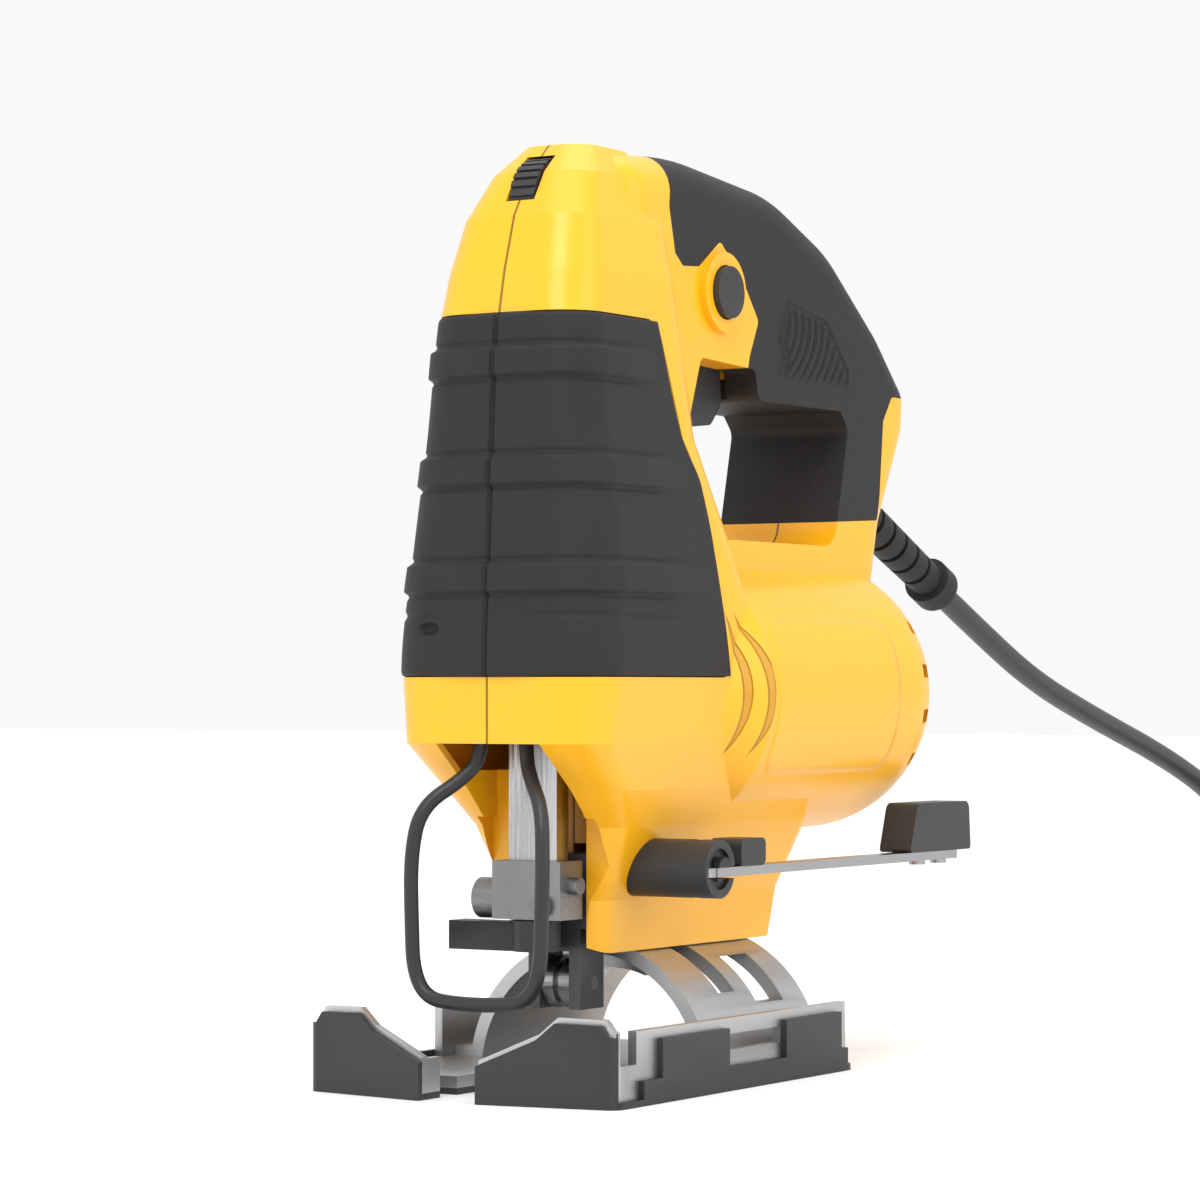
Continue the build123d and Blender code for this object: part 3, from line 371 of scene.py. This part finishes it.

# %% [markdown]
# ## The lead
# A rubber lead leaves its sleeve in line, sags a little, and comes down to the bench, where the
# spare length is wound up. A spline whose control points are a few listed places gives that
# easy curve; the wound part is worked out by a loop, four layers of three turns.

# %% Lead
LEAD_RADIUS = 3.0
sleeve_root = np.array((0.0, 136.0, 133.4))
sleeve_slope = math.radians(22.7)
sleeve_way = np.array((0.0, math.cos(sleeve_slope), -math.sin(sleeve_slope)))
SLEEVE_END = 58.0
lead_start = sleeve_root + sleeve_way * SLEEVE_END
lead_points = [
    tuple(lead_start), tuple(lead_start + sleeve_way * 24.0), (0.0, 247.0, 87.8), (0.0, 290.0, 76.8),
    (0.0, 334.0, 66.6), (0.2, 372.0, 55.0), (0.5, 402.0, 38.0), (0.9, 424.0, 25.5),
]
COIL_CENTRE = (40.0, 430.0)
COIL_TURNS = 11.5
PER_TURN = 14
turn_radii = [39, 33, 27, 27, 33, 39, 39, 33, 27, 27, 33, 39]
turn_heights = [21, 21, 21, 15, 15, 15, 9, 9, 9, 3, 3, 3]
lead_points.append((1.0, 442.0, 21.0))
position = np.arange(2, int(COIL_TURNS * PER_TURN)) / PER_TURN
middles = np.arange(12) + 0.5
for turn, radius, height in zip(position, np.interp(position, middles, turn_radii),
                                np.interp(position, middles, turn_heights)):
    angle = math.pi - turn * 2 * math.pi
    lead_points.append((COIL_CENTRE[0] + radius * math.cos(angle), COIL_CENTRE[1] + radius * math.sin(angle),
                        height))
lead_points += [(79.0, 438.0, 3.0), (79.0, 419.0, 3.05), (74.0, 399.0, 4.6), (71.0, 382.0, 7.0)]

lead = spline_tube("power_lead", lead_points, LEAD_RADIUS, SHEATH, around=6, along=6)
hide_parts("power_cord", "cord_coil", "cord_tail")
print("lead control points:", len(lead_points))

# %% [markdown]
# ## The front boots
# The nose is wrapped in soft rubber, moulded over each half of the shell and proud of it. A sheet of points
# wound round the nose describes it well: one parameter climbs the nose, the other runs from the centre joint
# round the corner and back along the side. Three raised belts, a joint groove and rolled edges are
# then just small lifts along the surface normal.

# %% Nose sections and the boots
NOSE = np.array([
    (74, -20.6, 25.0, 10.0), (88, -20.6, 26.9, 12.0), (117, -19.0, 24.5, 12.0), (140, -17.7, 21.5, 11.0),
    (165, -15.8, 19.4, 10.0), (174, -13.8, 18.6, 10.0),
])
BOOT_LOW, BOOT_HIGH = 88.0, 165.0
BOOT_PROUD, BOOT_ROLL = 0.45, 1.3
BOOT_ROWS, BOOT_COLUMNS = 210, 170
BELTS = (108.9, 131.5, 154.5)
BELT_RISE, BELT_HALF, BELT_GROOVE = 0.95, 2.6, 3.9
SKIRT = 2.0


def nose_sheet(s, z, rear):
    """Point and outward direction on the nose at distance s from the centre joint, height z.

    The section is a straight front of half width minus corner, a quarter circle, and a straight side.
    The front is crowned by 0.9 mm times one minus the square of its relative distance from the joint."""
    front, half, corner = (smooth(z, NOSE[:, 0], NOSE[:, k]) for k in (1, 2, 3))
    flat = half - corner
    bend = corner * np.pi / 2
    turn = np.clip((s - flat) / corner, 0, np.pi / 2)
    x = np.where(s < flat, s, flat + corner * np.sin(turn))
    y = front + corner * (1 - np.cos(turn)) + np.maximum(s - flat - bend, 0)
    crown = 0.9 * (1 - np.clip(s / flat, 0, 1) ** 2)
    out = np.stack([np.sin(turn), -np.cos(turn), np.zeros_like(s)], axis=-1)
    return np.stack([x, y - crown, z], axis=-1), out


def boot(name, side):
    """One boot: rows up the nose, columns from joint to rear edge, and a skirt turned in behind.

    The lift is the sum of the belts and grooves, each a bump in height or in distance from the joint."""
    v = np.concatenate([[0.0], np.linspace(0, 1, BOOT_ROWS), [1.0]])
    u = np.concatenate([[0.0], np.linspace(0, 1, BOOT_COLUMNS) ** 1.05, [1.0]])
    z = (BOOT_LOW + (BOOT_HIGH - BOOT_LOW) * v)[:, None] * np.ones_like(u)
    rear = smooth(z, (88, 130, 140, 165), (36.0, 30.0, 24.0, 17.0))
    front, half, corner = (smooth(z, NOSE[:, 0], NOSE[:, k]) for k in (1, 2, 3))
    total = half - corner + corner * np.pi / 2 + rear - front - corner
    s = u[None, :] * total
    points, out = nose_sheet(s, z, rear)
    edge = np.minimum(np.minimum(z - BOOT_LOW, BOOT_HIGH - z), total - s)
    roll = BOOT_ROLL * (1 - np.sqrt(np.clip(1 - (1 - np.clip(edge / BOOT_ROLL, 0, 1)) ** 2, 0, 1)))
    lift = BOOT_PROUD - roll * 0.8
    fade = 1 - ramp(s, 0.62 * total, 0.93 * total)
    for belt in BELTS:
        lift = lift + BELT_RISE * bump(z, belt, BELT_HALF, 0.8) * fade
        for groove in (belt - BELT_GROOVE, belt + BELT_GROOVE):
            lift = lift - 0.35 * bump(z, groove, 0.15, 0.45) * fade
    lift = lift - 0.9 * bump(s, 0.0, 0.3, 0.5)
    lift = lift - 0.45 * bump(z, 101.0, 0.2, 0.9) * ramp(s, 9, 14) * fade
    if side < 0:
        oval = np.hypot((s - 14.7) / 2.6, (z - 98.2) / 1.3)
        lift = lift - 1.5 * (1 - ramp(oval, 0.7, 1.15))
    skirt = np.zeros_like(lift)
    skirt[[0, -1], :] = SKIRT
    skirt[:, [0, -1]] = SKIRT
    points = points + out * (lift - skirt)[..., None]
    points[..., 0] *= side
    piece = grid_piece(name, points, RUBBER, flip=side > 0)
    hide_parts(name.replace("rubber", "front_boot"))
    return piece


for name, side in (("left_rubber", 1), ("right_rubber", -1)):
    piece = boot(name, side)
    print(name, len(piece.data.polygons), "faces")

# %% [markdown]
# ## The ribbed pads on the handle
# Where the palm closes, the rubber carries a pad of curved ribs so that a gloved hand does not slip. The
# grip is a plate with rounded edges, so its surface height is a function of the distance to its outline.
# The pad rises a little over that, cut by ellipses 1.5 mm apart.

# %% Grip surface and pads
GRIP_EDGE = np.array([(10, 201), (38, 203.4), (57, 202.4), (80, 199.2), (93, 195.3), (106, 189), (118, 181.5),
                      (131, 172), (141, 161.5), (145.6, 153), (133, 124)], float)
OPENING_EDGE = np.array([(66.5, 157), (68, 151), (106, 151), (109.5, 149.6), (110.6, 146),
                         (104.5, 119)], float)
PAD = np.array([(82.7, 175.7), (100.7, 172.7), (112.3, 161.1), (112.0, 155.6), (104, 152.4), (84.2, 152.2),
                (72.5, 152.2), (70.5, 153.6), (75.2, 155.8), (79.9, 161.4), (77.6, 166.0)], float)
GRIP_HALF, GRIP_ROUND = 15.8, 9.0


def edge_distance(y, z, line, closed=False):
    """Least distance from each point to a chain of straight runs."""
    ends = np.vstack([line, line[:1]]) if closed else line
    best = np.full(y.shape, 1e9)
    for (ay, az), (by, bz) in zip(ends[:-1], ends[1:]):
        length = (by - ay) ** 2 + (bz - az) ** 2
        t = np.clip(((y - ay) * (by - ay) + (z - az) * (bz - az)) / length, 0, 1)
        best = np.minimum(best, np.hypot(y - ay - t * (by - ay), z - az - t * (bz - az)))
    return best


def inside(y, z, line):
    """True inside a closed chain: a ray along +Y crosses it an odd number of times."""
    odd = np.zeros(y.shape, bool)
    for (ay, az), (by, bz) in zip(line, np.roll(line, -1, axis=0)):
        crosses = (az > z) != (bz > z)
        with np.errstate(divide="ignore", invalid="ignore"):
            odd ^= crosses & (y < (by - ay) * (z - az) / (bz - az) + ay)
    return odd


def grip_pad(name, side):
    """Height field over the grip's side: rounded edge height plus the ribs inside the pad's outline."""
    step = 0.36
    y, z = np.meshgrid(np.arange(68.0, 114.5, step), np.arange(151.6, 178.0, step), indexing="ij")
    near = np.minimum(edge_distance(y, z, GRIP_EDGE), edge_distance(y, z, OPENING_EDGE))
    fall = np.clip(GRIP_ROUND - near, 0, GRIP_ROUND - 0.05)
    x = GRIP_HALF - GRIP_ROUND + np.sqrt(GRIP_ROUND**2 - fall**2)
    signed = edge_distance(y, z, PAD, closed=True) * np.where(inside(y, z, PAD), 1, -1)
    rings = np.hypot((y - 48.4) / 2.05, z - 169.6)
    phase = ((rings / 1.55) % 1.0) - 0.5
    ribs = ramp(np.abs(phase), 0.12, 0.34)
    face = ramp(signed, 1.6, 2.6)
    rim = ramp(signed, -0.3, 0.7) * (1 - ramp(signed, 0.9, 1.8))
    lift = -0.35 + 0.75 * rim + face * (0.10 + 0.85 * ribs)
    points = np.stack([side * (x + lift), y, z], axis=-1)
    piece = grid_piece(name, points, RUBBER, flip=side < 0)
    work = bmesh.new()
    work.from_mesh(piece.data)
    limit = (signed < -0.5).reshape(-1)
    work.verts.ensure_lookup_table()
    bmesh.ops.delete(work, geom=[work.verts[k] for k in np.nonzero(limit)[0]], context="VERTS")
    work.to_mesh(piece.data)
    work.free()
    return piece


for name, side in (("left_grip_pad", 1), ("right_grip_pad", -1)):
    print(name, len(grip_pad(name, side).data.polygons), "faces")

# %% [markdown]
# ## The guard wire
# A bent wire in front of the blade keeps fingers out and pushes chips aside. The real one is bent round large
# formers, so it has no sharp corner anywhere. A spline with a few control points does the same: legs that
# come out of the nose side by side, shoulders, two long sides and a wide bottom bow.

# %% Guard wire
WIRE_RADIUS = 1.55
half_wire = [(5.6, -14.0, 77.5), (5.6, -14.0, 71.0), (8.5, -16.8, 66.5), (15.2, -23.0, 60.5),
             (16.5, -24.8, 50.0), (16.2, -24.8, 36.0), (15.8, -24.8, 26.0), (12.4, -24.8, 20.4),
             (5.0, -24.8, 19.5)]
wire_points = half_wire + [(-x, y, z) for x, y, z in half_wire[::-1]]
wire = spline_tube("guard_wire_bent", wire_points, WIRE_RADIUS, BLACKENED, around=8, along=12)
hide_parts("guard_wire")
print("guard wire:", len(wire_points), "control points")

# %% [markdown]
# ## Bench and light
# A pale bench, four soft square lamps, an even ceiling light and a bright surround. Small tools are lit
# like this for a catalogue: broad highlights on satin plastic show the form, and the shadow under the shoe
# stays soft.

# %% Bench
bench_mesh = bpy.data.meshes.new("bench")
bench_mesh.from_pydata([(-6, -6, 0), (6, -6, 0), (6, 6, 0), (-6, 6, 0)], [], [(0, 1, 2, 3)])
bench = bpy.data.objects.new("bench", bench_mesh)
bpy.context.collection.objects.link(bench)
bench_mesh.materials.append(finish("bench_paper", (0.86, 0.86, 0.86), 0.75, tint=0.006, tint_scale=3.0,
                                   grain=400, relief=0.02, rough_spread=0.03))


def lamp(name, place, aim, power, size):
    """Square area lamp at a place, turned towards an aim point, both in metres."""
    data = bpy.data.lights.new(name, "AREA")
    data.energy, data.size = power, size
    light = bpy.data.objects.new(name, data)
    bpy.context.collection.objects.link(light)
    light.location = place
    light.rotation_euler = (Vector(aim) - Vector(place)).to_track_quat("-Z", "Y").to_euler()
    return light


centre = (0.0, 0.06, 0.10)
lamp("key", (0.30, -0.95, 1.05), centre, 7.0, 0.7)
lamp("side", (1.25, 0.10, 0.55), centre, 3.0, 0.8)
lamp("front_fill", (-0.85, -0.95, 0.45), centre, 1.2, 0.8)
lamp("top", (0.0, 0.45, 1.3), centre, 3.0, 0.9)

bpy.context.scene.view_settings.view_transform = "Standard"
sky_data = bpy.data.lights.new("ceiling", "SUN")
sky_data.energy, sky_data.angle = 0.9, math.radians(60)
sky = bpy.data.objects.new("ceiling", sky_data)
sky.rotation_euler = (math.radians(12), math.radians(8), 0)
bpy.context.collection.objects.link(sky)
world = bpy.data.worlds.new("surround")
bpy.context.scene.world = world
world.use_nodes = True
world.node_tree.nodes["Background"].inputs["Color"].default_value = (1.0, 1.0, 1.0, 1)
world.node_tree.nodes["Background"].inputs["Strength"].default_value = 0.95
print("lights:", len(bpy.data.lights))
